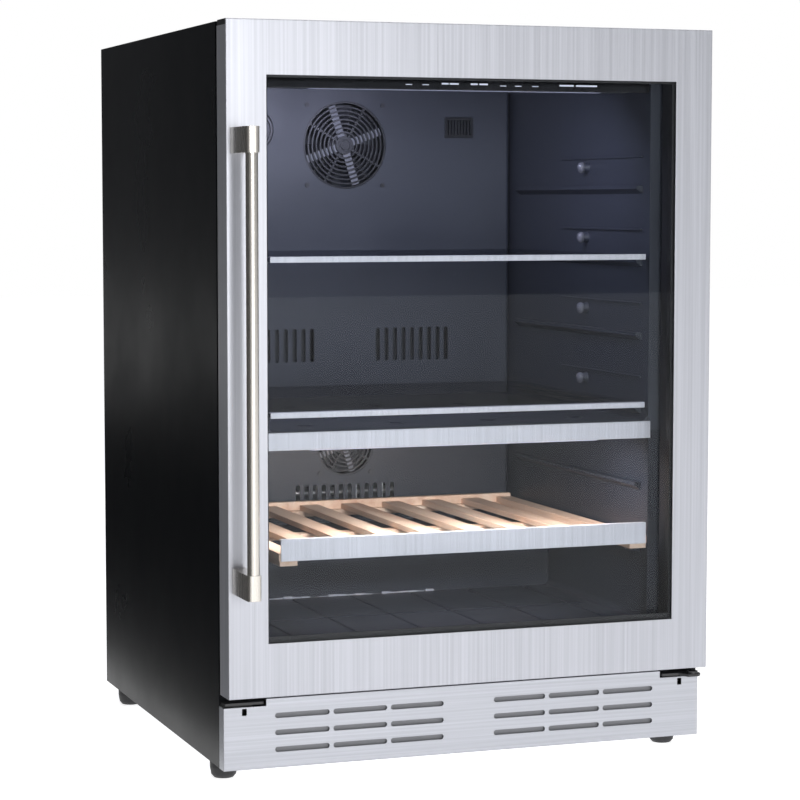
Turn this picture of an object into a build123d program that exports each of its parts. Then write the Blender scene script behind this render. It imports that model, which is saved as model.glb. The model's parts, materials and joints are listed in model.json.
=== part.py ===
from build123d import *
import os

# Built-in 600 mm undercounter beverage and wine refrigerator with two temperature zones.
# Frame: +Z up, the door faces -Y, the hinge is on the +X side.
# Origin: on the floor, at the centre of the overall box (feet, cabinet and handle).
# All lengths are in millimetres.

# ---------------------------------------------------------------- driving dimensions
WIDTH = 595.0            # cabinet, door and kick plate
HALF = WIDTH / 2
DEPTH = 595.0            # door front to cabinet back
HANDLE_OUT = 64.0        # handle front ahead of the door
F = -(DEPTH - HANDLE_OUT) / 2    # Y of the door's front face; every depth below is counted from it
CAB_TOP = 863.0
CAB_BOTTOM = 20.0
CAB_FRONT = 41.0
SHEET = 0.8              # painted steel sheet

DOOR_BOTTOM, DOOR_TOP = 106.0, 864.0
DOOR_THICK = 36.0
DOOR_SHEET = 1.2
WIN_X, WIN_Z0, WIN_Z1 = 251.0, 167.0, 803.0
GLASS_X, GLASS_Z0, GLASS_Z1 = 262.0, 156.0, 814.0
PANE = 4.0
GLASS_Y0 = 1.4
SPACER_T = 12.0
PIN_X, PIN_Y, PIN_R = 286.0, 14.0, 4.0
BUSH_BORE = 4.06

IN_X = 238.0             # half width inside the liner
LINER = 2.0
UP_FLOOR, UP_CEIL = 402.0, 815.0
LOW_FLOOR, LOW_CEIL = 160.0, 381.0
LINER_BACK = 521.0
HUMP_Y, HUMP_Z = 341.0, 235.0
COVER_Y, COVER_T = 471.0, 2.5
LEDGE_TOPS = (682.0, 594.5, 506.0, 417.5)    # shelf positions of the upper zone
LEDGE_OUT, LEDGE_H = 8.0, 8.0
WINE_LEDGE = 249.7

FAN_U_Z, FAN_U_R, FAN_U_PITCH = 737.0, 57.5, 52.5
FAN_L_Z, FAN_L_R, FAN_L_PITCH = 339.0, 39.5, 35.75

SHELF_BACK = 435.0
GLASS_SHELF_T = 5.0
FOOT_X, FOOT_Y_FRONT, FOOT_Y_REAR = 280.0, 85.0, 533.0

OUT = "parts"
os.makedirs(OUT, exist_ok=True)


def block(x0, x1, y0, y1, z0, z1, mode=Mode.ADD):
    """A box between two corners, inside the current part; y is counted from the door's front."""
    with Locations(((x0 + x1) / 2, F + (y0 + y1) / 2, (z0 + z1) / 2)):
        Box(x1 - x0, y1 - y0, z1 - z0, mode=mode)


def rod_y(x, y0, y1, z, r, mode=Mode.ADD):
    """A cylinder along Y."""
    with Locations(Location((x, F + (y0 + y1) / 2, z), (90, 0, 0))):
        Cylinder(r, y1 - y0, mode=mode)


def rod_x(x0, x1, y, z, r, mode=Mode.ADD):
    """A cylinder along X."""
    with Locations(Location(((x0 + x1) / 2, F + y, z), (0, 90, 0))):
        Cylinder(r, x1 - x0, mode=mode)


def rod_z(x, y, z0, z1, r, mode=Mode.ADD):
    """A cylinder along Z."""
    with Locations((x, F + y, (z0 + z1) / 2)):
        Cylinder(r, z1 - z0, mode=mode)


def save(builder, name):
    builder.part.label = name
    export_step(builder.part, os.path.join(OUT, name + ".step"))


# ================================================================ cabinet shell
for side, name in ((-1, "left_side_panel"), (1, "right_side_panel")):
    with BuildPart() as side_panel:
        with BuildSketch(Plane.XY.offset(CAB_BOTTOM)):
            with BuildLine():
                Polyline(
                    (side * HALF, F + CAB_FRONT),
                    (side * (HALF - 40), F + CAB_FRONT),
                    (side * (HALF - 40), F + CAB_FRONT + SHEET),
                    (side * (HALF - SHEET), F + CAB_FRONT + SHEET),
                    (side * (HALF - SHEET), F + DEPTH),
                    (side * HALF, F + DEPTH),
                    close=True,
                )
            make_face()
        extrude(amount=CAB_TOP - CAB_BOTTOM)
        fillet(
            side_panel.edges().filter_by(Axis.Z).filter_by(
                lambda e: abs(abs(e.center().X) - HALF) < 0.01 and e.center().Y < F + CAB_FRONT + 1
            ),
            radius=0.7,
        )
    save(side_panel, name)

with BuildPart() as top_panel:
    block(-HALF + SHEET + 0.05, HALF - SHEET - 0.05, CAB_FRONT + SHEET + 0.05, DEPTH, CAB_TOP - SHEET, CAB_TOP)
    block(-HALF + 40.1, HALF - 40.1, CAB_FRONT, CAB_FRONT + SHEET + 0.05, 822, CAB_TOP)
save(top_panel, "top_panel")

with BuildPart() as back_panel:
    block(-HALF + SHEET + 0.05, HALF - SHEET - 0.05, DEPTH - SHEET, DEPTH, 200, CAB_TOP - SHEET - 0.05)
    with BuildSketch(Plane.XZ.offset(-(F + DEPTH - SHEET))):
        with Locations((0, 640)):
            RectangleRounded(430, 330, 25)
        with Locations((0, 340)):
            RectangleRounded(430, 160, 25)
    extrude(amount=2.2)
    with BuildSketch(Plane.XZ.offset(-(F + DEPTH))):
        with Locations((0, 640)):
            RectangleRounded(427, 327, 23.5)
        with Locations((0, 340)):
            RectangleRounded(427, 157, 23.5)
    extrude(amount=2.2, mode=Mode.SUBTRACT)
save(back_panel, "back_panel")

with BuildPart() as rear_grille:
    block(-296.5, 296.5, DEPTH - 3.4, DEPTH - 2.4, 21.5, 198.5)
    with BuildSketch(Plane.XZ.offset(-(F + DEPTH - 5))):
        with Locations((-60, 115)):
            with GridLocations(38, 22, 10, 6):
                SlotOverall(30, 7)
    extrude(amount=-5, mode=Mode.SUBTRACT)
    rod_y(215, DEPTH - 6, DEPTH, 60, 8.2, Mode.SUBTRACT)
save(rear_grille, "rear_grille")

with BuildPart() as base_tray:
    block(-HALF + SHEET + 0.1, HALF - SHEET - 0.1, 44, DEPTH - 4, 20, 21.2)
    block(-HALF + SHEET + 0.1, -HALF + SHEET + 1.3, 44, DEPTH - 4, 21.2, 46)
    block(HALF - SHEET - 1.3, HALF - SHEET - 0.1, 44, DEPTH - 4, 21.2, 46)
    with Locations(
        *[(sx * FOOT_X, F + fy, 20.6) for sx in (-1, 1) for fy in (FOOT_Y_FRONT, FOOT_Y_REAR)]
    ):
        Cylinder(5.3, 4, mode=Mode.SUBTRACT)
    for sx in (-1, 1):
        for fy in (FOOT_Y_FRONT, FOOT_Y_REAR):
            with BuildSketch(Plane.XY.offset(21.2)):
                with Locations((sx * FOOT_X, F + fy)):
                    RegularPolygon(8.5, 6, major_radius=False)
                    Circle(5.3, mode=Mode.SUBTRACT)
            extrude(amount=8)
save(base_tray, "base_tray")

with BuildPart() as front_sill:
    block(-HALF + 40.1, HALF - 40.1, CAB_FRONT, CAB_FRONT + SHEET, 100, 157)
    block(-HALF + 40.1, HALF - 40.1, CAB_FRONT + SHEET, 62, 100, 101.2)
save(front_sill, "front_sill")

# ---------------------------------------------------------------- insulation slabs
IX = IN_X + LINER
OX = HALF - SHEET
FY0 = 44.6
FYB = DEPTH - SHEET - 2.4
with BuildPart() as foam:
    for s in (-1, 1):
        xa, xb = sorted((s * (IX + 0.1), s * (OX - 0.1)))
        block(xa, xb, FY0, 376, 118, CAB_TOP - SHEET - 0.1)
        block(xa, xb, 376.2, FYB, 200, CAB_TOP - SHEET - 0.1)
    block(-IX, IX, 46.2, FYB, UP_CEIL + LINER + 0.1, CAB_TOP - SHEET - 0.1)
    block(-IX, IX, LINER_BACK + LINER + 0.1, FYB, HUMP_Z, UP_CEIL + LINER)
    block(-IX, IX, FY0, 376, 118, LOW_FLOOR - LINER - 2.1)
    block(-IX, IX, HUMP_Y + LINER + 0.1, 376, LOW_FLOOR - LINER - 2, HUMP_Z - LINER - 0.1)
    block(-IX, IX, 376.2, FYB, 200, HUMP_Z - LINER - 0.1)
    block(-IX, IX, FY0, LINER_BACK, LOW_CEIL + LINER + 0.1, UP_FLOOR - LINER - 0.1)
save(foam, "foam_insulation")

# ---------------------------------------------------------------- liners
with BuildPart() as upper_liner:
    block(-IX, IX, 42.6, LINER_BACK + LINER, UP_FLOOR - LINER, UP_CEIL + LINER)
    block(-IX - 22, IX + 22, 41.9, 44.4, 391.2, 826)
    block(-IX - 0.6, IX + 0.6, 41, 42.6, 391, UP_FLOOR, Mode.SUBTRACT)
    block(-IN_X, IN_X, 40, LINER_BACK, UP_FLOOR, UP_CEIL, Mode.SUBTRACT)
    fillet(
        upper_liner.edges().filter_by(Axis.Y).filter_by(
            lambda e: abs(abs(e.center().X) - IN_X) < 0.01 and e.length > 300
        ),
        radius=9,
    )
    for zt in LEDGE_TOPS:
        for s in (-1, 1):
            with BuildSketch(Plane.XZ.offset(-(F + 62))):
                with BuildLine():
                    Polyline(
                        (s * (IN_X + 0.5), zt),
                        (s * (IN_X - LEDGE_OUT), zt),
                        (s * (IN_X - LEDGE_OUT), zt - LEDGE_H + 4),
                        (s * (IN_X + 0.5), zt - LEDGE_H - 2),
                        close=True,
                    )
                make_face()
            extrude(amount=-(440 - 62))
            # thin guide rib above each ledge
            xa, xb = sorted((s * (IN_X + 0.5), s * (IN_X - 2.5)))
            block(xa, xb, 62, 300, zt + 34, zt + 36)
            # stop bump
            with Locations(Location((s * (IN_X - 3.2), F + 223, zt + 24), (0, -s * 90, 0))):
                Cone(7.5, 4.5, 8.4)
    # dimples on the floor that lift bottles off condensation
    for row, yy in enumerate((110, 190, 270, 350)):
        for k in range(4 - row % 2):
            with Locations((-172.5 + 115 * k + (57.5 if row % 2 else 0), F + yy, UP_FLOOR)):
                Cylinder(9, 2.4)
save(upper_liner, "upper_liner")

with BuildPart() as lower_liner:
    with BuildSketch(Plane.YZ.offset(-IX)):
        with BuildLine():
            Polyline(
                (F + 42.6, LOW_FLOOR - LINER - 2),
                (F + HUMP_Y + LINER, LOW_FLOOR - LINER - 2),
                (F + HUMP_Y + LINER, HUMP_Z - LINER),
                (F + LINER_BACK + LINER, HUMP_Z - LINER),
                (F + LINER_BACK + LINER, LOW_CEIL + LINER),
                (F + 42.6, LOW_CEIL + LINER),
                close=True,
            )
        make_face()
    extrude(amount=2 * IX)
    block(-IX - 22, IX + 22, 41.9, 44.4, 153.5, 391)
    block(-IX - 0.6, IX + 0.6, 41, 42.6, 380.3, 391.1, Mode.SUBTRACT)
    with BuildSketch(Plane.YZ.offset(-IN_X)):
        with BuildLine():
            Polyline(
                (F + 40, LOW_FLOOR),
                (F + HUMP_Y, LOW_FLOOR),
                (F + HUMP_Y, HUMP_Z),
                (F + LINER_BACK, HUMP_Z),
                (F + LINER_BACK, LOW_CEIL),
                (F + 40, LOW_CEIL),
                close=True,
            )
        make_face()
    extrude(amount=2 * IN_X, mode=Mode.SUBTRACT)
    fillet(
        lower_liner.edges().filter_by(Axis.Y).filter_by(
            lambda e: abs(abs(e.center().X) - IN_X) < 0.01
            and e.length > 200
            and e.center().Z < LOW_FLOOR + 1
        ),
        radius=8,
    )
    # pressed floor pads: grooves 1.4 mm deep between them
    for gx in (-200, -120, -40, 40, 120, 200):
        block(gx - 3, gx + 3, 70, HUMP_Y - 6, LOW_FLOOR - 1.4, LOW_FLOOR + 1, Mode.SUBTRACT)
    block(-220, 220, 186, 192, LOW_FLOOR - 1.4, LOW_FLOOR + 1, Mode.SUBTRACT)
    for s in (-1, 1):
        for zt, y1 in ((WINE_LEDGE, 440), (325.0, 440)):
            with BuildSketch(Plane.XZ.offset(-(F + 62))):
                with BuildLine():
                    Polyline(
                        (s * (IN_X + 0.5), zt),
                        (s * (IN_X - LEDGE_OUT - 14 * (zt < 300)), zt),
                        (s * (IN_X - LEDGE_OUT - 14 * (zt < 300)), zt - 4),
                        (s * (IN_X + 0.5), zt - LEDGE_H - 2),
                        close=True,
                    )
                make_face()
            extrude(amount=-(y1 - 62))
save(lower_liner, "lower_liner")

with BuildPart() as mullion_trim:
    block(-240.5, 240.5, 41.1, 42.5, 380.5, 401)
    fillet(mullion_trim.edges().filter_by(Axis.X).group_by(Axis.Y)[0], radius=0.6)
save(mullion_trim, "mullion_trim")

# ================================================================ air covers and fans
with BuildPart() as upper_cover:
    block(-235, 235, COVER_Y, LINER_BACK - 0.5, UP_FLOOR + 3, UP_CEIL - 3)
    fillet(upper_cover.edges().filter_by(Axis.Z).group_by(Axis.Y)[0], radius=6)
    block(-232.5, 232.5, COVER_Y + COVER_T, LINER_BACK + 2, UP_FLOOR + 5.5, UP_CEIL - 5.5, Mode.SUBTRACT)
    rod_y(0, COVER_Y - 1, COVER_Y + 4, FAN_U_Z, FAN_U_R, Mode.SUBTRACT)
    with BuildSketch(Plane.XZ.offset(-(F + COVER_Y - 1))):
        with Locations((0, FAN_U_Z)):
            with GridLocations(2 * FAN_U_PITCH, 2 * FAN_U_PITCH, 2, 2):
                Circle(2.3)
        for s in (-1, 1):
            with Locations((s * 94.5, 473.5)):
                with GridLocations(12.15, 1, 9, 1):
                    SlotOverall(44, 5.7, rotation=90)
        with Locations((161, 761.5)):
            Rectangle(40.4, 27.4)
        with Locations((-126.5, 756)):
            Circle(25.2)
    extrude(amount=-6, mode=Mode.SUBTRACT)
save(upper_cover, "upper_air_cover")

with BuildPart() as lower_cover:
    block(-235, 235, COVER_Y, LINER_BACK - 0.5, HUMP_Z + 2, LOW_CEIL - 0.4)
    fillet(lower_cover.edges().filter_by(Axis.Z).group_by(Axis.Y)[0], radius=6)
    block(-232.5, 232.5, COVER_Y + COVER_T, LINER_BACK + 2, HUMP_Z + 4.5, LOW_CEIL - 1.6, Mode.SUBTRACT)
    rod_y(0, COVER_Y - 1, COVER_Y + 4, FAN_L_Z, FAN_L_R, Mode.SUBTRACT)
    with BuildSketch(Plane.XZ.offset(-(F + COVER_Y - 1))):
        with Locations((0, FAN_L_Z)):
            with GridLocations(2 * FAN_L_PITCH, 2 * FAN_L_PITCH, 2, 2):
                Circle(1.9)
        with Locations((0, 266.5)):
            with GridLocations(12.03, 1, 12, 1):
                SlotOverall(44, 6.0, rotation=90)
    extrude(amount=-6, mode=Mode.SUBTRACT)
save(lower_cover, "lower_air_cover")

for name, fz, fr, pitch, hub, lip in (
    ("upper_fan_guard", FAN_U_Z, FAN_U_R - 0.3, 5.6, 12.0, 3.0),
    ("lower_fan_guard", FAN_L_Z, FAN_L_R - 0.3, 5.4, 7.5, 0.8),
):
    with BuildPart() as guard:
        with BuildSketch(Plane.XZ.offset(-(F + COVER_Y + 0.4))):
            with Locations((0, fz)):
                r = fr
                while r > hub + 4:
                    Circle(r)
                    Circle(r - 2.2, mode=Mode.SUBTRACT)
                    r -= pitch
                Circle(hub)
                Circle(hub * 0.62, mode=Mode.SUBTRACT)
                Circle(hub * 0.45)
        extrude(amount=-2.2)
        # ribs behind the rings join them
        with BuildSketch(Plane.XZ.offset(-(F + COVER_Y + 1.6))):
            with Locations((0, fz)):
                Rectangle(2 * fr - 1.5, 3.0, rotation=60)
                Rectangle(2 * fr - 1.5, 3.0, rotation=-30)
                Circle(hub)
        extrude(amount=-2.0)
        with BuildSketch(Plane.XZ.offset(-(F + COVER_Y + COVER_T + 0.1))):
            with Locations((0, fz)):
                Circle(fr + lip)
                Circle(fr - 2.2, mode=Mode.SUBTRACT)
        extrude(amount=-1.4)
        with BuildSketch(Plane.XZ.offset(-(F + COVER_Y + COVER_T - 0.4))):
            with Locations((0, fz)):
                Circle(fr)
                Circle(fr - 2.2, mode=Mode.SUBTRACT)
        extrude(amount=-1.0)
    save(guard, name)

for name, fz, size, bore, pitch, hub in (
    ("upper_fan_frame", FAN_U_Z, 119.0, 56.5, FAN_U_PITCH, 20.0),
    ("lower_fan_frame", FAN_L_Z, 79.6, 38.0, FAN_L_PITCH, 14.0),
):
    with BuildPart() as fan_frame:
        with BuildSketch(Plane.XZ.offset(-(F + 476))):
            with Locations((0, fz)):
                RectangleRounded(size, size, 5)
                Circle(bore, mode=Mode.SUBTRACT)
                with GridLocations(2 * pitch, 2 * pitch, 2, 2):
                    Circle(1.7, mode=Mode.SUBTRACT)
        extrude(amount=-25)
        with BuildSketch(Plane.XZ.offset(-(F + 497.5))):
            with Locations((0, fz)):
                Circle(hub)
                Rectangle(2 * bore + 2, 4, rotation=45)
                Rectangle(2 * bore + 2, 4, rotation=-45)
        extrude(amount=-3.5)
        rod_y(0, 493, 498, fz, 2.0)
    save(fan_frame, name)

# fan rotors: hub on the motor spindle, with pitched blades lofted from root to tip
for name, cx, cy, cz, axis, hub, tip, nblade in (
    ("upper_fan_rotor", 0.0, 486.5, FAN_U_Z, "Y", 19.0, 54.5, 7),
    ("lower_fan_rotor", 0.0, 486.5, FAN_L_Z, "Y", 13.0, 36.3, 7),
    ("condenser_fan_rotor", -84.5, 485.0, 92.0, "X", 19.0, 54.5, 7),
):
    spin = (0, 1, 0) if axis == "Y" else (1, 0, 0)
    with BuildPart() as blade:
        base = Plane(origin=(cx, F + cy, cz + hub - 1.5), x_dir=spin, z_dir=(0, 0, 1))
        with BuildSketch(base):
            Rectangle(tip * 0.34, 1.4, rotation=42)
        with BuildSketch(base.offset((tip - hub) * 0.55)):
            Rectangle(tip * 0.44, 1.3, rotation=55)
        with BuildSketch(base.offset(tip - hub)):
            Rectangle(tip * 0.50, 1.2, rotation=63)
        loft()
    with BuildPart() as rotor:
        if axis == "Y":
            rod_y(cx, cy - 8, cy + 6, cz, hub)
        else:
            rod_x(cx - 6, cx + 8, cy, cz, hub)
        fillet(
            rotor.edges().filter_by(GeomType.CIRCLE).sort_by(Axis.Y if axis == "Y" else Axis.X)[
                0 if axis == "Y" else -1
            ],
            radius=3,
        )
        for k in range(nblade):
            add(blade.part.rotate(Axis((cx, F + cy, cz), spin), k * 360 / nblade))
        if axis == "Y":
            rod_y(cx, cy + 2, cy + 7, cz, 2.15, Mode.SUBTRACT)
        else:
            rod_x(cx - 7, cx - 2, cy, cz, 2.15, Mode.SUBTRACT)
    save(rotor, name)

# finned evaporators behind the covers
for name, z0, z1, xh, nrow in (
    ("upper_evaporator", 520.0, 668.0, 190.0, 4),
    ("lower_evaporator", 262.0, 290.0, 200.0, 1),
):
    with BuildPart() as evap:
        zs = [z0 + (z1 - z0) * (k + 0.5) / nrow for k in range(nrow)]
        for k in range(21):
            x = -xh + 14 + k * (2 * xh - 28) / 20
            block(x - 0.5, x + 0.5, 480, 516, z0, z1)
    with BuildPart() as coil:
        with BuildLine() as route:
            pts = []
            for k, z in enumerate(zs):
                a, b = (-xh, xh) if k % 2 == 0 else (xh, -xh)
                pts += [(a, F + 489, z), (b, F + 489, z)]
            if nrow == 1:
                Polyline(*pts)
            else:
                FilletPolyline(*pts, radius=11)
        with BuildSketch(Plane(origin=route.line @ 0, z_dir=route.line % 0)):
            Circle(4)
        sweep()
        with BuildLine() as route2:
            if nrow == 1:
                Polyline(*[(p[0], F + 507, p[2]) for p in pts])
            else:
                FilletPolyline(*[(p[0], F + 507, p[2]) for p in pts], radius=11)
        with BuildSketch(Plane(origin=route2.line @ 0, z_dir=route2.line % 0)):
            Circle(4)
        sweep()
    with BuildPart() as evaporator:
        add(evap.part)
        add(coil.part)
    save(evaporator, name)

with BuildPart() as carbon_filter:
    rod_y(-126.5, COVER_Y - 4.5, COVER_Y - 0.1, 756, 27.5)
    fillet(carbon_filter.edges().filter_by(GeomType.CIRCLE).sort_by(Axis.Y)[0], radius=2.0)
    rod_y(-126.5, COVER_Y - 0.1, COVER_Y + 22, 756, 24.9)
    with BuildSketch(Plane.XZ.offset(-(F + COVER_Y - 5))):
        with Locations((-126.5, 756)):
            Circle(23)
            Circle(20.5, mode=Mode.SUBTRACT)
            Circle(17)
            Circle(14.5, mode=Mode.SUBTRACT)
            with PolarLocations(7.5, 6):
                Circle(1.6)
    extrude(amount=-2.6, mode=Mode.SUBTRACT)
    block(-130, -123, COVER_Y - 7, COVER_Y - 4.4, 745, 767)
save(carbon_filter, "carbon_filter")

with BuildPart() as sensor_cover:
    block(141.1, 180.9, COVER_Y - 1.6, COVER_Y + 10, 748.1, 774.9)
    block(143, 179, COVER_Y + 1.2, COVER_Y + 12, 750, 773, Mode.SUBTRACT)
    with BuildSketch(Plane.XZ.offset(-(F + COVER_Y - 2))):
        with Locations((161, 761.5)):
            with GridLocations(4.4, 1, 8, 1):
                Rectangle(2, 20)
    extrude(amount=-4, mode=Mode.SUBTRACT)
save(sensor_cover, "sensor_cover")

# ================================================================ controls and lamps
with BuildPart() as control_housing:
    block(-228, 228, 45, 112, 793, UP_CEIL - 0.2)
    fillet(control_housing.edges().filter_by(Axis.X).group_by(Axis.Z)[0].sort_by(Axis.Y)[-1], radius=6)
    block(-225, 225, 47.5, 109, 796, UP_CEIL + 1, Mode.SUBTRACT)
    block(-181, 181, 56, 72, 790, 797, Mode.SUBTRACT)
save(control_housing, "control_housing")

with BuildPart() as control_panel:
    block(-236, 236, 41.9, 44.8, 791, 814.8)
    fillet(control_panel.edges().filter_by(Axis.Y).group_by(Axis.Z)[-1], radius=10)
    fillet(control_panel.edges().filter_by(Axis.X).group_by(Axis.Y)[0].sort_by(Axis.Z)[0], radius=1.0)
    with BuildSketch(Plane.XZ.offset(-(F + 41.9))):
        for x in (-67.8, -47.3, 48.8, 67.7, 89.2):
            with Locations((x, 806.5)):
                Circle(4.9)
                Circle(4.2, mode=Mode.SUBTRACT)
    extrude(amount=-0.3, mode=Mode.SUBTRACT)
save(control_panel, "control_panel")

with BuildPart() as led_lamps:
    block(-180, 180, 57, 71, 791.4, 795.8)
    block(-180, 180, 62, 74, LOW_CEIL - 3.5, LOW_CEIL - 0.1)
save(led_lamps, "led_lamps")

# ================================================================ kick plate and hinges
with BuildPart() as kick_plate:
    with BuildSketch(Plane.XZ.offset(-(F + 22.5))):
        with BuildLine():
            Polyline(
                (-HALF, 20), (HALF, 20), (HALF, 92), (247, 92), (247, 100),
                (-247, 100), (-247, 92), (-HALF, 92), close=True,
            )
        make_face()
        for gx in (-134, 134.5):
            with Locations((gx, 60.5)):
                with GridLocations(70, 19.6, 3, 3):
                    SlotOverall(65.3, 6.0, mode=Mode.SUBTRACT)
        with Locations((-273, 86.3), (273, 86.3)):
            RectangleRounded(5.6, 8, 1, mode=Mode.SUBTRACT)
    extrude(amount=-1.2)
    block(-HALF, -HALF + 1.2, 23.7, 40.8, 20, 92)
    block(HALF - 1.2, HALF, 23.7, 40.8, 20, 92)
    block(-HALF + 1.2, HALF - 1.2, 23.7, 40.8, 20, 21.2)
    block(-247, 247, 23.7, 36, 98.8, 100)
    chamfer(kick_plate.edges().filter_by(Axis.Z).filter_by(
        lambda e: abs(abs(e.center().X) - HALF) < 0.01 and e.center().Y < F + 23), length=0.4)
save(kick_plate, "kick_plate")

for name, s, outline in (
    ("bottom_hinge", 1, ((249, 40.8), (249, 21), (270, 19), (278, 6.5), (291, 6.5), (296.1, 12), (296.1, 40.8))),
    ("left_corner_bracket", -1, ((249, 40.8), (249, 24), (296.1, 24), (296.1, 40.8))),
):
    with BuildPart() as bracket:
        with BuildSketch(Plane.XY.offset(94)):
            with BuildLine():
                Polyline(*[(s * x, F + y) for x, y in outline], close=True)
            make_face()
        extrude(amount=3)
        fillet(bracket.edges().filter_by(Axis.Z), radius=1.8)
        xa, xb = sorted((s * 259, s * 296.1))
        block(xa, xb, 37.8, 40.8, 50, 94.5)
        if s > 0:
            with BuildSketch(Plane.XY.offset(97)):
                with Locations((PIN_X, F + PIN_Y)):
                    Circle(6.5)
            extrude(amount=3)
            with BuildSketch(Plane.XY.offset(100)):
                with Locations((PIN_X, F + PIN_Y)):
                    Circle(PIN_R)
            extrude(amount=18)
            chamfer(bracket.faces().sort_by(Axis.Z)[-1].edges(), length=0.8)
        for z in (60, 78):
            rod_y(s * 277, 36, 42, z, 2.2, Mode.SUBTRACT)
    save(bracket, name)

with BuildPart() as top_hinge:
    with BuildSketch(Plane.XY.offset(850)):
        with Locations((PIN_X, F + PIN_Y)):
            Circle(8)
        with Locations((PIN_X - 2, F + (PIN_Y + 40.8) / 2)):
            Rectangle(16 - 4, 40.8 - PIN_Y)
        with Locations((279, F + 39.6)):
            Rectangle(34, 2.4)
    extrude(amount=3)
    block(262, 296, 38.4, 40.8, 850, 861.5)
    with BuildSketch(Plane.XY.offset(850)):
        with Locations((PIN_X, F + PIN_Y)):
            Circle(PIN_R)
    extrude(amount=-16)
    chamfer(top_hinge.faces().sort_by(Axis.Z)[0].edges(), length=0.8)
    for x in (269, 290):
        rod_y(x, 37, 42, 857, 1.8, Mode.SUBTRACT)
save(top_hinge, "top_hinge")

# ---------------------------------------------------------------- screws, grouped by kind
with BuildPart() as fixing_screws:
    for fz, p, r in ((FAN_U_Z, FAN_U_PITCH, 1.6), (FAN_L_Z, FAN_L_PITCH, 1.6)):
        for sx in (-1, 1):
            for sz in (-1, 1):
                rod_y(sx * p, COVER_Y - 1.8, COVER_Y - 0.1, fz + sz * p, 3.0)
                rod_y(sx * p, COVER_Y - 0.2, 484, fz + sz * p, r)
    for s in (-1, 1):
        for z in (60, 78):
            rod_y(s * 277, 35.2, 37.7, z, 3.8)
            rod_y(s * 277, 37.6, 40.9, z, 2.0)
save(fixing_screws, "fixing_screws")

# ================================================================ refrigeration unit
with BuildPart() as compressor:
    with BuildSketch(Plane.XY.offset(44)):
        with Locations((150, F + 482)):
            RectangleRounded(156, 124, 58)
    extrude(amount=128)
    fillet(compressor.edges().group_by(Axis.Z)[-1], radius=40)
    fillet(compressor.edges().group_by(Axis.Z)[0], radius=18)
    with BuildSketch(Plane.XY.offset(104)):
        with Locations((150, F + 482)):
            RectangleRounded(162, 130, 61)
    extrude(amount=5)
    block(72, 228, 425, 539, 36, 39)
    for dx in (-40, 40):
        block(150 + dx - 10, 150 + dx + 10, 440, 524, 38.5, 52)
    with Locations(*[(150 + dx, F + 482 + dy, 37.5) for dx in (-68, 68) for dy in (-48, 48)]):
        Cylinder(6.2, 8, mode=Mode.SUBTRACT)
    rod_z(190, 500, 160, 186, 4)
    rod_z(110, 505, 160, 182, 3)
save(compressor, "compressor")

with BuildPart() as compressor_mounts:
    for dx in (-68, 68):
        for dy in (-48, 48):
            rod_z(150 + dx, 482 + dy, 21.3, 35.9, 12)
            rod_z(150 + dx, 482 + dy, 35.8, 39.2, 6)
            rod_z(150 + dx, 482 + dy, 39.1, 43, 10.5)
save(compressor_mounts, "compressor_mounts")

with BuildPart() as start_relay:
    block(233, 262, 452, 512, 80, 140)
    fillet(start_relay.edges().filter_by(Axis.X), radius=6)
    fillet(start_relay.faces().sort_by(Axis.X)[-1].edges(), radius=3)
save(start_relay, "start_relay_cover")

with BuildPart() as condenser:
    for k in range(24):
        x = -252 + k * 5.2
        block(x - 0.5, x + 0.5, 415, 555, 30, 150)
    for yy in (437, 485, 533):
        with BuildLine() as serpentine:
            FilletPolyline(
                (-256, F + yy, 50), (-108, F + yy, 50), (-108, F + yy, 90),
                (-276, F + yy, 90), (-276, F + yy, 130), (-126, F + yy, 130), radius=16,
            )
        with BuildSketch(Plane(origin=serpentine.line @ 0, z_dir=serpentine.line % 0)):
            Circle(4)
        sweep()
save(condenser, "condenser")


with BuildPart() as condenser_fan_frame:
    with BuildSketch(Plane.YZ.offset(-98)):
        with Locations((F + 485, 92)):
            RectangleRounded(119, 119, 5)
            Circle(56.5, mode=Mode.SUBTRACT)
            with GridLocations(105, 105, 2, 2):
                Circle(2.2, mode=Mode.SUBTRACT)
    extrude(amount=25)
    with BuildSketch(Plane.YZ.offset(-98)):
        with Locations((F + 485, 92)):
            Circle(20)
            Rectangle(114, 4, rotation=45)
            Rectangle(114, 4, rotation=-45)
    extrude(amount=3.5)
    rod_x(-95, -89.5, 485, 92, 2.0)
    block(-98, -73, 440, 530, 21.3, 33)
save(condenser_fan_frame, "condenser_fan_frame")

with BuildPart() as drain_pan:
    block(70, 232, 400, 564, 187.5, 198)
    fillet(drain_pan.edges().filter_by(Axis.Z), radius=12)
    block(72, 230, 402, 562, 189.5, 199, Mode.SUBTRACT)
save(drain_pan, "drain_pan")

with BuildPart() as pipes:
    with BuildLine() as discharge:
        FilletPolyline(
            (110, F + 505, 182.1), (110, F + 505, 185.4), (60, F + 505, 185.4), (60, F + 580, 185.4),
            (-264, F + 580, 185.4), (-264, F + 533, 185.4), (-264, F + 533, 138), radius=1.6,
        )
    with BuildSketch(Plane(origin=discharge.line @ 0, z_dir=discharge.line % 0)):
        Circle(1.5)
    sweep(transition=Transition.RIGHT)
    rod_x(-60, 40, 566, 150, 9)
    rod_x(-70, -58, 566, 150, 3)
    rod_x(38, 50, 566, 150, 3)
save(pipes, "refrigerant_pipes")

with BuildPart() as cord_gland:
    rod_y(215, DEPTH - 12, DEPTH - 0.2, 60, 8.0)
    rod_y(215, DEPTH - 2.3, DEPTH, 60, 12)
    rod_y(215, DEPTH - 8, DEPTH - 3.5, 60, 11)
    rod_y(215, DEPTH - 13, DEPTH + 1, 60, 3.6, Mode.SUBTRACT)
save(cord_gland, "cord_gland")

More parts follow.
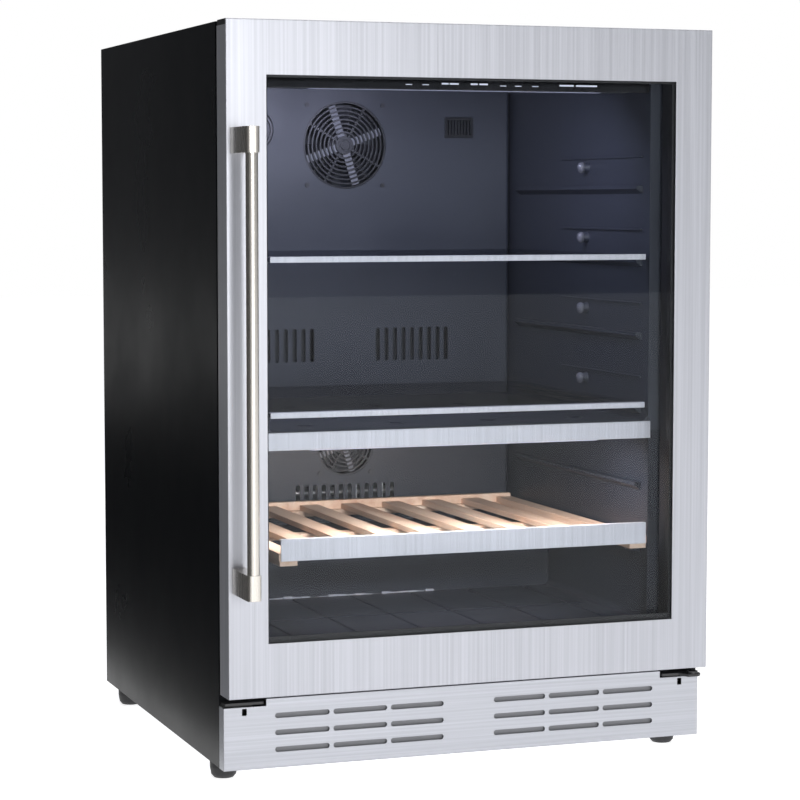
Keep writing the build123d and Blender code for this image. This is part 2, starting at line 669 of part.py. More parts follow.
# ================================================================ levelling feet
for sx, fy, name in (
    (-1, FOOT_Y_FRONT, "foot_front_left"), (1, FOOT_Y_FRONT, "foot_front_right"),
    (-1, FOOT_Y_REAR, "foot_rear_left"), (1, FOOT_Y_REAR, "foot_rear_right"),
):
    with BuildPart() as foot:
        with BuildSketch(Plane.XZ.offset(-(F + fy))):
            with BuildLine():
                x = sx * FOOT_X
                Polyline(
                    (x, 0), (x + 11.5, 0), (x + 14.5, 3.5), (x + 16, 12), (x + 16, 18.2),
                    (x + 15, 19.4), (x + 5, 19.4), (x + 5, 45), (x, 45), close=True,
                )
            make_face()
        revolve(axis=Axis((sx * FOOT_X, F + fy, 0), (0, 0, 1)))
    save(foot, name)

# ================================================================ glass shelves
with BuildPart() as shelf_glass:
    for zt in (LEDGE_TOPS[1], LEDGE_TOPS[3]):
        block(-234, 234, 46.2, SHELF_BACK, zt + 0.2, zt + 0.2 + GLASS_SHELF_T)
    chamfer(shelf_glass.edges().filter_by(Axis.X).group_by(Axis.Y)[-1], length=0.6)
save(shelf_glass, "shelf_glass")

with BuildPart() as shelf_trim:
    for zt in (LEDGE_TOPS[1], LEDGE_TOPS[3]):
        with BuildSketch(Plane.YZ.offset(-234)):
            with Locations((F + 48.5, zt + 2.9)):
                Rectangle(10, 6.6)
            with Locations((F + 51.1, zt + 2.7)):
                Rectangle(10, 5.2, mode=Mode.SUBTRACT)
        extrude(amount=468)
save(shelf_trim, "shelf_trim")

# ================================================================ wine shelf
RAIL = 21.0
with BuildPart() as wine_frame:
    for s in (-1, 1):
        xa, xb = sorted((s * (230 - RAIL), s * 230))
        block(xa, xb, 27.3, 462, 256, 265)
        xa, xb = sorted((s * 208, s * 229))
        block(xa, xb, 27.3, 462, 250, 256)
    block(-209, 209, 27.3, 60, 256, 258)
    block(-209, 209, 236, 256, 250.5, 256.5)
    block(-230, 230, 452, 462, 251, 269.3)
    block(-209, 209, 442, 452, 250.5, 258)
save(wine_frame, "wine_shelf_frame")

with BuildPart() as wine_slats:
    for k in range(-3, 4):
        x = k * 57.0
        block(x - 12.5, x + 12.5, 27.3, 451.9, 258.05, 265)
    fillet(wine_slats.edges().filter_by(Axis.Y).group_by(Axis.Z)[-1], radius=0.8)
save(wine_slats, "wine_shelf_slats")

with BuildPart() as wine_front:
    with BuildSketch(Plane.YZ.offset(-228)):
        with Locations((F + 26, 268.3)):
            Rectangle(2, 25)
        with Locations((F + 29, 280)):
            Rectangle(8, 1.6)
    extrude(amount=456)
save(wine_front, "wine_shelf_front")

# ================================================================ door
with BuildPart() as door_skin:
    block(-HALF, HALF, 0, DOOR_THICK, DOOR_BOTTOM, DOOR_TOP)
    block(-HALF + DOOR_SHEET, HALF - DOOR_SHEET, DOOR_SHEET, DOOR_THICK + 1,
          DOOR_BOTTOM + DOOR_SHEET, DOOR_TOP - DOOR_SHEET, Mode.SUBTRACT)
    fillet(door_skin.edges().filter_by(
        lambda e: abs(e.center().Y - F) < 0.01), radius=1.0)
    block(-WIN_X, WIN_X, -1, 4, WIN_Z0, WIN_Z1, Mode.SUBTRACT)
    # clearance for the concealed upper hinge arm, lower pin hole, handle screw holes
    block(268, HALF + 1, DOOR_SHEET + 0.3, DOOR_THICK + 1, 846.5, DOOR_TOP + 1, Mode.SUBTRACT)
    block(-HALF - 1, -268, DOOR_SHEET + 0.3, DOOR_THICK + 1, 857.5, DOOR_TOP + 1, Mode.SUBTRACT)
    rod_z(PIN_X, PIN_Y, DOOR_BOTTOM - 1, DOOR_BOTTOM + 3, 4.8, Mode.SUBTRACT)
    for z in (730, 241):
        rod_y(-285, -2, 3, z, 2.7, Mode.SUBTRACT)
save(door_skin, "door_skin")

DX = HALF - DOOR_SHEET - 0.1
DZ0, DZ1 = DOOR_BOTTOM + DOOR_SHEET + 0.1, DOOR_TOP - DOOR_SHEET - 0.1
with BuildPart() as door_frame:
    block(-DX, DX, DOOR_SHEET + 0.1, DOOR_THICK, DZ0, DZ1)
    block(-GLASS_X - 0.3, GLASS_X + 0.3, 0, 21.7, GLASS_Z0 - 0.3, GLASS_Z1 + 0.3, Mode.SUBTRACT)
    block(-WIN_X, WIN_X, 20, DOOR_THICK + 1, WIN_Z0, WIN_Z1, Mode.SUBTRACT)
    fillet(door_frame.edges().filter_by(Axis.Z).filter_by(
        lambda e: abs(abs(e.center().X) - DX) < 0.01 and e.center().Y > F + 30), radius=2.5)
    # open corner in which the upper hinge arm swings
    block(256, HALF, 0, DOOR_THICK + 1, 848, DOOR_TOP, Mode.SUBTRACT)
    block(-HALF - 1, -267.8, 0, DOOR_THICK + 1, 857.3, DOOR_TOP, Mode.SUBTRACT)
    rod_z(PIN_X, PIN_Y, DZ0 - 1, DZ0 + 15, 7.0, Mode.SUBTRACT)
    rod_z(PIN_X, PIN_Y, 833, 849, 7.0, Mode.SUBTRACT)
    for z in (730, 241):
        rod_y(-285, 0, 16, z, 2.7, Mode.SUBTRACT)
        rod_y(-285, 10, DOOR_THICK + 1, z, 5.5, Mode.SUBTRACT)
save(door_frame, "door_frame")

with BuildPart() as outer_glass:
    block(-GLASS_X, GLASS_X, GLASS_Y0, GLASS_Y0 + PANE, GLASS_Z0, GLASS_Z1)
save(outer_glass, "door_outer_glass")

with BuildPart() as inner_glass:
    block(-GLASS_X, GLASS_X, GLASS_Y0 + PANE + SPACER_T, GLASS_Y0 + 2 * PANE + SPACER_T, GLASS_Z0, GLASS_Z1)
save(inner_glass, "door_inner_glass")

with BuildPart() as spacer:
    block(-GLASS_X, GLASS_X, GLASS_Y0 + PANE, GLASS_Y0 + PANE + SPACER_T, GLASS_Z0, GLASS_Z1)
    block(-GLASS_X + 13, GLASS_X - 13, GLASS_Y0, GLASS_Y0 + 2 * PANE + SPACER_T,
          GLASS_Z0 + 13, GLASS_Z1 - 13, Mode.SUBTRACT)
save(spacer, "door_glass_spacer")

with BuildPart() as gasket:
    block(-283, 283, DOOR_THICK, 40.7, 118, 846)
    block(-265, 265, DOOR_THICK - 1, 42, 136, 828, Mode.SUBTRACT)
    fillet(gasket.edges().group_by(Axis.Y)[-1], radius=1.6)
save(gasket, "door_gasket")

with BuildPart() as handle_bar:
    rod_z(-285, -56.5, 246, 725, 6.9)
    chamfer(handle_bar.edges().filter_by(GeomType.CIRCLE), length=0.6)
save(handle_bar, "handle_bar")

with BuildPart() as handle_posts:
    for z0, z1 in ((716.0, 744.5), (226.5, 255.0)):
        with BuildSketch(Plane.XY.offset(z0)):
            with Locations((-285, F - HANDLE_OUT / 2)):
                Rectangle(16, HANDLE_OUT)
        extrude(amount=z1 - z0)
    fillet(handle_posts.edges().filter_by(Axis.Z).group_by(Axis.Y)[0], radius=5.5)
    fillet(handle_posts.edges().filter_by(Axis.Z).group_by(Axis.Y)[-1], radius=1.0)
    # the bar's ends sit 9 mm deep in blind sockets, and a screw enters from behind
    rod_z(-285, -56.5, 245.8, 725.2, 6.93, Mode.SUBTRACT)
    for z in (730, 241):
        rod_y(-285, -16, 1, z, 2.1, Mode.SUBTRACT)
save(handle_posts, "handle_posts")

with BuildPart() as handle_screws:
    for z in (730, 241):
        rod_y(-285, -14, 11.0, z, 2.0)
        rod_y(-285, 10.2, 14.5, z, 4.5)
save(handle_screws, "handle_screws")

with BuildPart() as hinge_bushes:
    rod_z(PIN_X, PIN_Y, DZ0, DZ0 + 14.8, 6.95)
    rod_z(PIN_X, PIN_Y, 833.2, 848, 6.95)
    rod_z(PIN_X, PIN_Y, DZ0 - 1, DZ0 + 20, BUSH_BORE, Mode.SUBTRACT)
    rod_z(PIN_X, PIN_Y, 830, 849, BUSH_BORE, Mode.SUBTRACT)
save(hinge_bushes, "door_hinge_bushes")

with BuildPart() as corner_cap:
    block(-HALF + 0.2, -268.2, DOOR_SHEET + 0.5, DOOR_THICK - 0.2, 857.7, DOOR_TOP - 0.1)
    fillet(corner_cap.edges().filter_by(Axis.Z).group_by(Axis.X)[0], radius=1.5)
save(corner_cap, "door_corner_cap")
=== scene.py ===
import json
import math

import bpy
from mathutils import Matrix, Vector

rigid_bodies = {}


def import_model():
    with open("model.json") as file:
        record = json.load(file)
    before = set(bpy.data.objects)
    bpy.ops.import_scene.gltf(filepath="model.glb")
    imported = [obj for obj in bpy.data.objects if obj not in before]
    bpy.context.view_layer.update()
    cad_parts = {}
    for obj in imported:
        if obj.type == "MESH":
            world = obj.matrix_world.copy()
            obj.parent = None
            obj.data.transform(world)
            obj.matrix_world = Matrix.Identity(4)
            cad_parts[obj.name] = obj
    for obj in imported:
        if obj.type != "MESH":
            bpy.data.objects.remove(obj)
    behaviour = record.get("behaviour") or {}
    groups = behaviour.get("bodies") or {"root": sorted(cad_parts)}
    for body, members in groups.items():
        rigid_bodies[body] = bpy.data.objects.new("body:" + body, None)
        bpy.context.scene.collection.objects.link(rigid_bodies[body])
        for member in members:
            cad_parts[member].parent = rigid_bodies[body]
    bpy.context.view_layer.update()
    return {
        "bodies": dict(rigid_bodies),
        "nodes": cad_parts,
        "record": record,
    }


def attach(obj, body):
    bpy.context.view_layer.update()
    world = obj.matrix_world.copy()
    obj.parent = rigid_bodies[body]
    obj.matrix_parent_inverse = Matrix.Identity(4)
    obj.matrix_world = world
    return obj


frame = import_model()
nodes = frame["nodes"]
F = -0.2655  # Y of the door's front face


# ------------------------------------------------------------------ material helpers
def new_mat(name):
    m = bpy.data.materials.new(name)
    m.use_nodes = True
    nt = m.node_tree
    return m, nt, nt.nodes["Principled BSDF"]


def coords(nt, scale, rot=(0, 0, 0)):
    tc = nt.nodes.new("ShaderNodeTexCoord")
    mp = nt.nodes.new("ShaderNodeMapping")
    mp.inputs["Scale"].default_value = scale
    mp.inputs["Rotation"].default_value = rot
    nt.links.new(tc.outputs["Object"], mp.inputs["Vector"])
    return mp.outputs["Vector"]


def noise(nt, vec, scale=1.0, detail=4.0, rough=0.55):
    n = nt.nodes.new("ShaderNodeTexNoise")
    n.inputs["Scale"].default_value = scale
    n.inputs["Detail"].default_value = detail
    n.inputs["Roughness"].default_value = rough
    nt.links.new(vec, n.inputs["Vector"])
    return n.outputs["Fac"]


def ramp(nt, fac, stops):
    r = nt.nodes.new("ShaderNodeValToRGB")
    el = r.color_ramp.elements
    while len(el) < len(stops):
        el.new(0.5)
    for e, (p, c) in zip(el, stops):
        e.position = p
        e.color = (*c, 1) if len(c) == 3 else c
    nt.links.new(fac, r.inputs["Fac"])
    return r.outputs["Color"]


def spread(nt, fac, lo, hi):
    r = nt.nodes.new("ShaderNodeMapRange")
    r.inputs["From Min"].default_value = 0.3
    r.inputs["From Max"].default_value = 0.7
    r.inputs["To Min"].default_value = lo
    r.inputs["To Max"].default_value = hi
    nt.links.new(fac, r.inputs["Value"])
    return r.outputs["Result"]


def bump(nt, b, height, strength=0.1, dist=0.001, chain=None):
    n = nt.nodes.new("ShaderNodeBump")
    n.inputs["Strength"].default_value = strength
    n.inputs["Distance"].default_value = dist
    nt.links.new(height, n.inputs["Height"])
    if chain is not None:
        nt.links.new(chain, n.inputs["Normal"])
    nt.links.new(n.outputs["Normal"], b.inputs["Normal"])
    return n.outputs["Normal"]


def soft_edges(nt, radius):
    n = nt.nodes.new("ShaderNodeBevel")
    n.samples = 4
    n.inputs["Radius"].default_value = radius
    return n.outputs["Normal"]


def tint(c, k):
    return tuple(min(1.0, x * k) for x in c)


def plastic(name, col, rough=0.45, grain=900.0, strength=0.08, vary=0.06, edge=0.0006, coat=0.0):
    m, nt, b = new_mat(name)
    fine = noise(nt, coords(nt, (grain, grain, grain)), 1.0, 3.0)
    broad = noise(nt, coords(nt, (9, 9, 9)), 1.0, 3.0)
    nt.links.new(ramp(nt, broad, [(0.3, tint(col, 1 - vary)), (0.7, tint(col, 1 + vary))]), b.inputs["Base Color"])
    nt.links.new(spread(nt, broad, rough - 0.05, rough + 0.06), b.inputs["Roughness"])
    b.inputs["Coat Weight"].default_value = coat
    bump(nt, b, fine, strength, 0.0004, soft_edges(nt, edge) if edge else None)
    return m


def brushed(name, col, along="Z", rough=0.3, strength=0.06, metal=1.0, aniso=0.5, vary=0.05):
    m, nt, b = new_mat(name)
    long, short = 3.0, 1600.0
    s = {"X": (long, short, short), "Y": (short, long, short), "Z": (short, short, long)}[along]
    fine = noise(nt, coords(nt, s), 1.0, 5.0, 0.7)
    s2 = {"X": (2.5, 420, 420), "Y": (420, 2.5, 420), "Z": (420, 420, 2.5)}[along]
    broad = noise(nt, coords(nt, s2), 1.0, 3.0)
    nt.links.new(ramp(nt, broad, [(0.3, tint(col, 1 - vary)), (0.7, tint(col, 1 + vary))]), b.inputs["Base Color"])
    nt.links.new(spread(nt, fine, rough - 0.07, rough + 0.09), b.inputs["Roughness"])
    b.inputs["Metallic"].default_value = metal
    b.inputs["Anisotropic"].default_value = aniso
    bump(nt, b, fine, strength, 0.0003, soft_edges(nt, 0.0007))
    return m


def painted(name, col, rough=0.4, spec=0.5):
    m, nt, b = new_mat(name)
    b.inputs["Specular IOR Level"].default_value = spec
    peel = noise(nt, coords(nt, (420, 420, 420)), 1.0, 2.0)
    broad = noise(nt, coords(nt, (6, 6, 6)), 1.0, 4.0)
    nt.links.new(ramp(nt, broad, [(0.3, tint(col, 0.9)), (0.7, tint(col, 1.1))]), b.inputs["Base Color"])
    nt.links.new(spread(nt, broad, rough - 0.04, rough + 0.05), b.inputs["Roughness"])
    bump(nt, b, peel, 0.12, 0.0004, soft_edges(nt, 0.0006))
    return m


def galvanised(name):
    m, nt, b = new_mat(name)
    v = nt.nodes.new("ShaderNodeTexVoronoi")
    v.inputs["Scale"].default_value = 1.0
    nt.links.new(coords(nt, (170, 170, 170)), v.inputs["Vector"])
    nt.links.new(ramp(nt, v.outputs["Color"], [(0.2, (0.44, 0.45, 0.47)), (0.8, (0.52, 0.53, 0.55))]), b.inputs["Base Color"])
    b.inputs["Metallic"].default_value = 0.9
    nt.links.new(spread(nt, noise(nt, coords(nt, (40, 40, 40))), 0.38, 0.52), b.inputs["Roughness"])
    bump(nt, b, v.outputs["Distance"], 0.05, 0.0005, soft_edges(nt, 0.0006))
    return m


def wood(name):
    m, nt, b = new_mat(name)
    vec = coords(nt, (60, 2.2, 60))
    grain = noise(nt, vec, 1.0, 8.0, 0.62)
    pores = noise(nt, coords(nt, (700, 28, 700)), 1.0, 3.0)
    planks = noise(nt, coords(nt, (17.6, 0.2, 0.2)), 1.0, 1.0)
    base = ramp(nt, grain, [(0.28, (0.62, 0.38, 0.26)), (0.5, (0.84, 0.61, 0.45)), (0.72, (0.94, 0.78, 0.62))])
    tone = ramp(nt, planks, [(0.3, (0.88, 0.82, 0.76)), (0.7, (1.0, 1.0, 1.0))])
    mix = nt.nodes.new("ShaderNodeMix")
    mix.data_type = "RGBA"
    mix.blend_type = "MULTIPLY"
    mix.inputs[0].default_value = 0.7
    nt.links.new(base, mix.inputs[6])
    nt.links.new(tone, mix.inputs[7])
    nt.links.new(mix.outputs[2], b.inputs["Base Color"])
    nt.links.new(spread(nt, pores, 0.42, 0.6), b.inputs["Roughness"])
    bump(nt, b, pores, 0.16, 0.0004, soft_edges(nt, 0.0009))
    return m


def clear(name, tone, gloss=1.0, rough=0.01):
    m = bpy.data.materials.new(name)
    m.use_nodes = True
    nt = m.node_tree
    nt.nodes.remove(nt.nodes["Principled BSDF"])
    out = nt.nodes["Material Output"]
    t = nt.nodes.new("ShaderNodeBsdfTransparent")
    g = nt.nodes.new("ShaderNodeBsdfGlossy")
    fr = nt.nodes.new("ShaderNodeFresnel")
    fr.inputs["IOR"].default_value = 1.45
    g.inputs["Roughness"].default_value = rough
    haze = noise(nt, coords(nt, (5, 5, 5)), 1.0, 3.0)
    nt.links.new(ramp(nt, haze, [(0.3, tint(tone, 0.985)), (0.7, tone)]), t.inputs["Color"])
    k = nt.nodes.new("ShaderNodeMath")
    k.operation = "MULTIPLY"
    k.inputs[1].default_value = gloss
    nt.links.new(fr.outputs["Fac"], k.inputs[0])
    mx = nt.nodes.new("ShaderNodeMixShader")
    nt.links.new(k.outputs["Value"], mx.inputs["Fac"])
    nt.links.new(t.outputs["BSDF"], mx.inputs[1])
    nt.links.new(g.outputs["BSDF"], mx.inputs[2])
    nt.links.new(mx.outputs["Shader"], out.inputs["Surface"])
    return m


def lamp(name, col, power):
    m, nt, b = new_mat(name)
    f = noise(nt, coords(nt, (60, 60, 60)), 1.0, 2.0)
    nt.links.new(ramp(nt, f, [(0.3, tint(col, 0.93)), (0.7, col)]), b.inputs["Emission Color"])
    b.inputs["Base Color"].default_value = (0.7, 0.7, 0.75, 1)
    b.inputs["Roughness"].default_value = 0.4
    b.inputs["Emission Strength"].default_value = power
    return m


MAT = {
    "cabinet_black": painted("cabinet_black", (0.0025, 0.003, 0.004), 0.30, 0.07),
    "galvanised": galvanised("galvanised"),
    "foam": plastic("foam", (0.8, 0.72, 0.48), 0.85, 300, 0.3),
    "liner_grey": plastic("liner_grey", (0.040, 0.046, 0.060), 0.38, 300, 0.008),
    "stainless": brushed("stainless", (0.42, 0.428, 0.465), "Z", 0.36, 0.13, 0.62, 0.4, 0.10),
    "dark_plastic": plastic("dark_plastic", (0.010, 0.011, 0.014), 0.32, 400, 0.02),
    "black_plastic": plastic("black_plastic", (0.014, 0.014, 0.016), 0.4),
    "fan_plastic": plastic("fan_plastic", (0.03, 0.03, 0.036), 0.3, 900, 0.04),
    "fin_aluminium": brushed("fin_aluminium", (0.7, 0.71, 0.73), "Z", 0.35),
    "gloss_black": plastic("gloss_black", (0.008, 0.008, 0.010), 0.10, 300, 0.01, 0.03, 0.0005, 0.6),
    "lamp_diffuser": lamp("lamp_diffuser", (0.62, 0.62, 1.0), 0.25),
    "hinge_black": painted("hinge_black", (0.018, 0.018, 0.02), 0.45),
    "screw_black": painted("screw_black", (0.02, 0.02, 0.022), 0.35),
    "screw_steel": brushed("screw_steel", (0.5, 0.5, 0.52), "Y", 0.28),
    "compressor_black": painted("compressor_black", (0.012, 0.012, 0.013), 0.3),
    "rubber_black": plastic("rubber_black", (0.02, 0.02, 0.02), 0.75, 500, 0.2),
    "white_plastic": plastic("white_plastic", (0.72, 0.72, 0.71), 0.5),
    "copper": brushed("copper", (0.75, 0.42, 0.27), "Y", 0.28),
    "foot_black": plastic("foot_black", (0.016, 0.016, 0.018), 0.5),
    "clear_glass": clear("clear_glass", (0.96, 0.965, 0.97), 0.25),
    "tinted_glass": clear("tinted_glass", (0.93, 0.94, 0.955), 0.19),
    "beech": wood("beech"),
    "door_black": plastic("door_black", (0.014, 0.014, 0.017), 0.42),
    "spacer_black": plastic("spacer_black", (0.008, 0.008, 0.009), 0.5),
    "gasket_black": plastic("gasket_black", (0.018, 0.018, 0.02), 0.6, 500, 0.15),
    "handle_steel": brushed("handle_steel", (0.62, 0.59, 0.545), "Z", 0.25, 0.05, 0.9),
    "bush_nylon": plastic("bush_nylon", (0.6, 0.6, 0.58), 0.5),
}
flat_steel = brushed("stainless_cross", (0.42, 0.43, 0.465), "X", 0.38, 0.2, 0.62, 0.4, 0.10)

slot_of = {s["node"]: s["material_slot"] for s in frame["record"]["subparts"]}
for name, o in nodes.items():
    o.data.materials.clear()
    o.data.materials.append(MAT[slot_of[name]])
trim_steel = brushed("stainless_trim", (0.70, 0.70, 0.73), "Z", 0.38, 0.14, 0.45, 0.4, 0.10)
for name in ("mullion_trim", "shelf_trim", "wine_shelf_front"):
    nodes[name].data.materials.clear()
    nodes[name].data.materials.append(trim_steel)
# painted shade: the lower liner and lower air cover get a darker copy of the liner grey so the lower zone looks
# dimmer
liner_painted_shade = plastic("liner_grey_painted_shade", (0.015, 0.019, 0.029), 0.40, 300, 0.008)
for name in ("lower_liner", "lower_air_cover"):
    nodes[name].data.materials.clear()
    nodes[name].data.materials.append(liner_painted_shade)
for name in ("kick_plate",):
    nodes[name].data.materials.clear()
    nodes[name].data.materials.append(flat_steel)


# ------------------------------------------------------------------ detail pieces
def link(o):
    bpy.context.scene.collection.objects.link(o)
    return o


def piece(name, boxes, mat, body, bevel=0.0):
    """Boxes ((x0,x1,y0,y1,z0,z1) in mm, y from the door front) as one detail mesh."""
    verts, faces = [], []
    for x0, x1, y0, y1, z0, z1 in boxes:
        k = len(verts)
        for x in (x0, x1):
            for y in (y0, y1):
                for z in (z0, z1):
                    verts.append((x / 1000, F + y / 1000, z / 1000))
        faces += [[k + a for a in f] for f in ((0, 1, 3, 2), (4, 6, 7, 5), (0, 4, 5, 1), (2, 3, 7, 6), (0, 2, 6, 4), (1, 5, 7, 3))]
    me = bpy.data.meshes.new(name)
    me.from_pydata(verts, [], faces)
    me.update()
    o = link(bpy.data.objects.new(name, me))
    me.materials.append(mat)
    if bevel:
        md = o.modifiers.new("bevel", "BEVEL")
        md.width = bevel / 1000
        md.segments = 3
    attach(o, body)
    return o


def turned(name, profile, centre, axis, mat, body, n=48):
    """A turned piece: profile of (radius, height) in mm around an axis through centre."""
    verts, faces = [], []
    cx, cy, cz = centre
    for r, h in profile:
        for k in range(n):
            a = 2 * math.pi * k / n
            u, v = r * math.cos(a), r * math.sin(a)
            p = (cx + u, cy + v, cz + h) if axis == "Z" else (cx + u, cy + h, cz + v)
            verts.append((p[0] / 1000, F + p[1] / 1000, p[2] / 1000))
    for i in range(len(profile) - 1):
        for k in range(n):
            a, b = i * n + k, i * n + (k + 1) % n
            faces.append([a, b, b + n, a + n])
    faces.append(list(range(n))[::-1])
    faces.append([(len(profile) - 1) * n + k for k in range(n)])
    me = bpy.data.meshes.new(name)
    me.from_pydata(verts, [], faces)
    me.update()
    for p in me.polygons:
        p.use_smooth = len(p.vertices) == 4
    o = link(bpy.data.objects.new(name, me))
    me.materials.append(mat)
    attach(o, body)
    return o


mark_mat = lamp("panel_marks", (0.8, 0.84, 1.0), 0.6)
marks = []
for x0, x1 in ((-27.6, -19), (-17.5, -6.6), (8.3, 17), (19, 29.5), (120, 138), (141, 168)):
    marks.append((x0, x1, 41.78, 41.9, 797.4, 799.2))
for x in (-67.8, -47.3, 48.8, 67.7, 89.2):
    marks.append((x - 4, x + 4, 41.78, 41.9, 796.4, 797.2))
    marks.append((x - 1.8, x + 1.8, 41.78, 41.9, 806.2, 806.9))
for x0 in (-27, 9):  # two-digit displays, drawn as plain bars
    for dx in (0, 10):
        marks.append((x0 + dx, x0 + dx + 7, 41.78, 41.9, 803.0, 803.9))
        marks.append((x0 + dx, x0 + dx + 7, 41.78, 41.9, 809.2, 810.1))
        marks.append((x0 + dx, x0 + dx + 1, 41.78, 41.9, 803.0, 810.1))
        marks.append((x0 + dx + 6, x0 + dx + 7, 41.78, 41.9, 803.0, 810.1))
piece("panel_marks", marks, mark_mat, "cabinet")
piece(
    "glass_border",
    [(-251, 251, 5.5, 6.0, 167, 174), (-251, 251, 5.5, 6.0, 800.5, 803), (-251, -248.5, 5.5, 6.0, 174, 800.5), (248.5, 251, 5.5, 6.0, 174, 800.5)],
    MAT["spacer_black"], "door",
)
turned("hinge_pin_sleeve", [(4.03, 100.1), (4.03, 117.2), (3.3, 117.9)], (286, 14, 0), "Z", MAT["screw_steel"], "cabinet")


def bars_y(name, centre, y0, y1, bars, mat, body):
    """Flat bars facing the door, each (length, width, angle in degrees), crossing at centre (x, z) in mm."""
    verts, faces = [], []
    for length, width, ang in bars:
        a = math.radians(ang)
        ux, uz = math.cos(a), math.sin(a)
        k = len(verts)
        for y in (y0, y1):
            for sl, sw in ((-1, -1), (1, -1), (1, 1), (-1, 1)):
                x = centre[0] + sl * length / 2 * ux - sw * width / 2 * uz
                z = centre[1] + sl * length / 2 * uz + sw * width / 2 * ux
                verts.append((x / 1000, F + y / 1000, z / 1000))
        faces += [[k + q for q in f] for f in ((0, 1, 2, 3), (7, 6, 5, 4), (0, 4, 5, 1), (1, 5, 6, 2), (2, 6, 7, 3), (3, 7, 4, 0))]
    me = bpy.data.meshes.new(name)
    me.from_pydata(verts, [], faces)
    me.update()
    o = link(bpy.data.objects.new(name, me))
    me.materials.append(mat)
    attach(o, body)
    return o


strut_mat = plastic("fan_strut_grey", (0.22, 0.225, 0.25), 0.35, 900, 0.04)
bars_y("upper_fan_struts", (0, 737), 475.1, 475.8, [(108, 10, -72), (108, 10, 20)], strut_mat, "cabinet")
bars_y("lower_fan_struts", (0, 339), 475.1, 475.8, [(72, 7, -72), (72, 7, 20)], strut_mat, "cabinet")
peg_mat = plastic("shelf_peg_grey", (0.16, 0.165, 0.185), 0.15, 300, 0.01, 0.05, 0.0004, 0.5)
for k, zt in enumerate((682.0, 594.5, 506.0, 417.5)):
    for s, side in ((-1, "left"), (1, "right")):
        turned(
            "shelf_stop_%s_%d" % (side, k),
            [(0.8, -7.5), (3.2, -6.5), (5.0, -2.5), (5.4, 0.5), (4.6, 4.0), (2.6, 6.0), (0.6, 6.6)],
            (s * 229.6, 223, zt + 24), "Z", peg_mat, "cabinet", 20,
        )
# painted highlight: a pale grey glossy bead of varying width along the joint of the lower floor and the hump stands
# in for the bright uneven highlight line there
painted_highlight_bead_mat = plastic("painted_highlight_bead", (0.42, 0.44, 0.50), 0.12, 120, 0.35, 0.1, 0.0003, 0.8)
bead = []
for k in range(26):
    x = -236 + k * 12
    w = 1.5 + 0.8 * math.sin(k * 2.3) + 0.4 * math.sin(k * 5.1)
    if k % 7 != 5:
        bead.append((x, x + 11.6, 341 - 1.2 - w, 340.8, 160.1, 160.6 + w))
piece("floor_painted_highlight_bead", bead, painted_highlight_bead_mat, "cabinet", 0.6)
mesh_mat = plastic("kick_mesh_grey", (0.20, 0.205, 0.22), 0.5, 1500, 0.3)
piece("kick_dust_screen", [(-240, 240, 27.5, 28.3, 30, 92)], mesh_mat, "cabinet", 0.2)


# ------------------------------------------------------------------ stage, lights, camera
me = bpy.data.meshes.new("floor")
R = 14.0
pts = [(-R, -R, 0), (R, -R, 0), (R, R, 0), (-R, R, 0)]
me.from_pydata([(x, y, -0.0005) for x, y, z in pts], [], [(0, 1, 2, 3)])
floor = link(bpy.data.objects.new("floor", me))
fm, nt, b = new_mat("pale_floor")
nt.links.new(ramp(nt, noise(nt, coords(nt, (3, 3, 3))), [(0.3, (0.86, 0.86, 0.86)), (0.7, (0.88, 0.88, 0.88))]), b.inputs["Base Color"])
b.inputs["Roughness"].default_value = 0.7
b.inputs["Specular IOR Level"].default_value = 0.1
b.inputs["Emission Color"].default_value = (1, 1, 1, 1)
b.inputs["Emission Strength"].default_value = 0.80
me.materials.append(fm)

world = bpy.data.worlds.new("studio")
bpy.context.scene.world = world
world.use_nodes = True
bg = world.node_tree.nodes["Background"]
bg.inputs["Color"].default_value = (0.93, 0.95, 1.0, 1)
bg.inputs["Strength"].default_value = 0.27
backdrop = world.node_tree.nodes.new("ShaderNodeBackground")
backdrop.inputs["Color"].default_value = (1, 1, 1, 1)
backdrop.inputs["Strength"].default_value = 1.0
seen = world.node_tree.nodes.new("ShaderNodeLightPath")
mixw = world.node_tree.nodes.new("ShaderNodeMixShader")
world.node_tree.links.new(seen.outputs["Is Camera Ray"], mixw.inputs["Fac"])
world.node_tree.links.new(bg.outputs["Background"], mixw.inputs[1])
world.node_tree.links.new(backdrop.outputs["Background"], mixw.inputs[2])
world.node_tree.links.new(mixw.outputs["Shader"], world.node_tree.nodes["World Output"].inputs["Surface"])
bpy.context.scene.view_settings.view_transform = "Standard"


def area(name, pos, target, size, power, col=(1, 1, 1)):
    li = bpy.data.lights.new(name, "AREA")
    li.shape = "RECTANGLE"
    li.size, li.size_y = size
    li.energy = power
    li.color = col
    o = link(bpy.data.objects.new(name, li))
    o.location = pos
    o.rotation_euler = (Vector(target) - Vector(pos)).to_track_quat("-Z", "Y").to_euler()
    return o


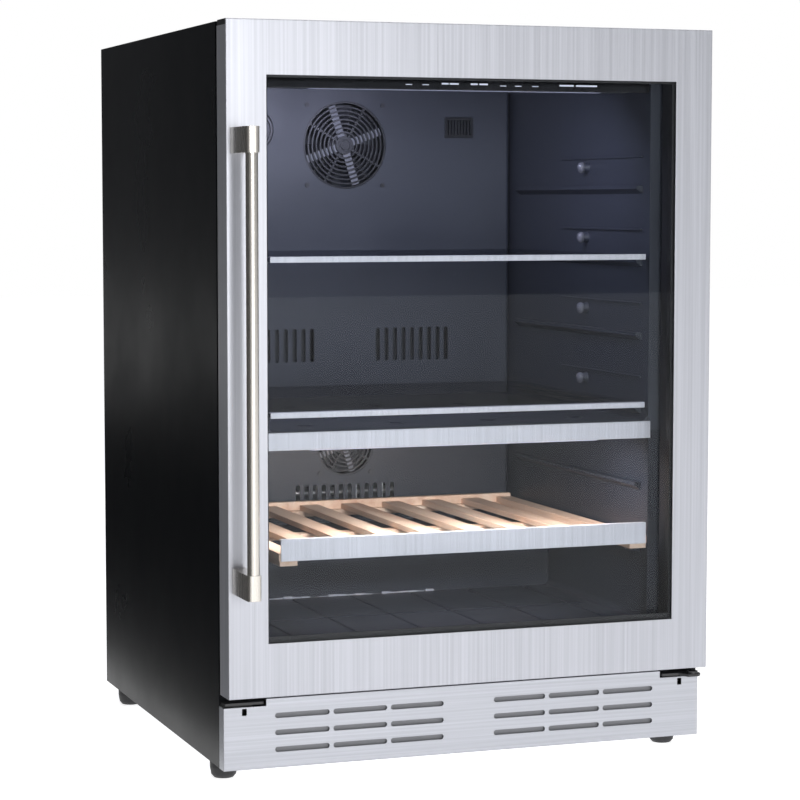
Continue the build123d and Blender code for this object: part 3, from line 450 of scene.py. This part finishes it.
area("front", (-0.20, -6.2, 1.05), (0, 0, 0.43), (0.6, 1.8), 150)
area("key", (-2.2, -4.2, 3.4), (0, 0, 0.45), (1.4, 1.4), 14)
area("overhead", (0.3, 0.2, 3.4), (0, 0, 0.4), (3.0, 3.0), 60)


def card(name, corners, tone):
    cm = bpy.data.meshes.new(name)
    cm.from_pydata(corners, [], [(0, 1, 2, 3)])
    o = link(bpy.data.objects.new(name, cm))
    mt, nt, b = new_mat(name)
    nt.links.new(ramp(nt, noise(nt, coords(nt, (2, 2, 2))), [(0.3, tone), (0.7, tone)]), b.inputs["Base Color"])
    b.inputs["Roughness"].default_value = 0.95
    b.inputs["Specular IOR Level"].default_value = 0.0
    cm.materials.append(mt)
    o.visible_camera = False
    return o


# black cards left of the object, outside the camera's view, keep its left faces dark
card("left_card", [(-2.6, -2.3, 0.0), (-2.6, 12.0, 0.0), (-2.6, 12.0, 3.2), (-2.6, -2.3, 3.2)], (0.01, 0.01, 0.012))
low_card = card("low_card", [(-2.6, -2.3, 0.004), (-0.36, -0.24, 0.004), (-0.36, 6.0, 0.004), (-2.6, 6.0, 0.004)],
                (0.03, 0.03, 0.034))
low_card.visible_diffuse = False
low_card.visible_shadow = False
area("inner_top", (-0.06, F + 0.105, 0.786), (-0.06, F + 0.30, 0.50), (0.36, 0.03), 1.7, (0.74, 0.74, 1.0))
area("inner_low", (0.0, F + 0.065, 0.3765), (0.0, F + 0.12, 0.20), (0.36, 0.02), 3.4, (1.0, 0.95, 0.94))
for n in ("inner_top", "inner_low"):
    bpy.data.objects[n].parent = frame["bodies"]["cabinet"]

cam = bpy.data.cameras.new("camera")
cam.sensor_width = 36.0
cam.lens = 112.29
cam.shift_x = 0.0110
cam.shift_y = 0.0017
cam.clip_end = 60
co = link(bpy.data.objects.new("camera", cam))
co.location = (-1.0601, -2.9240, 0.6640)
yaw, pitch = 0.3451, -0.0802
d = Vector((math.sin(yaw) * math.cos(pitch), math.cos(yaw) * math.cos(pitch), math.sin(pitch)))
co.rotation_euler = d.to_track_quat("-Z", "Y").to_euler()
bpy.context.scene.camera = co
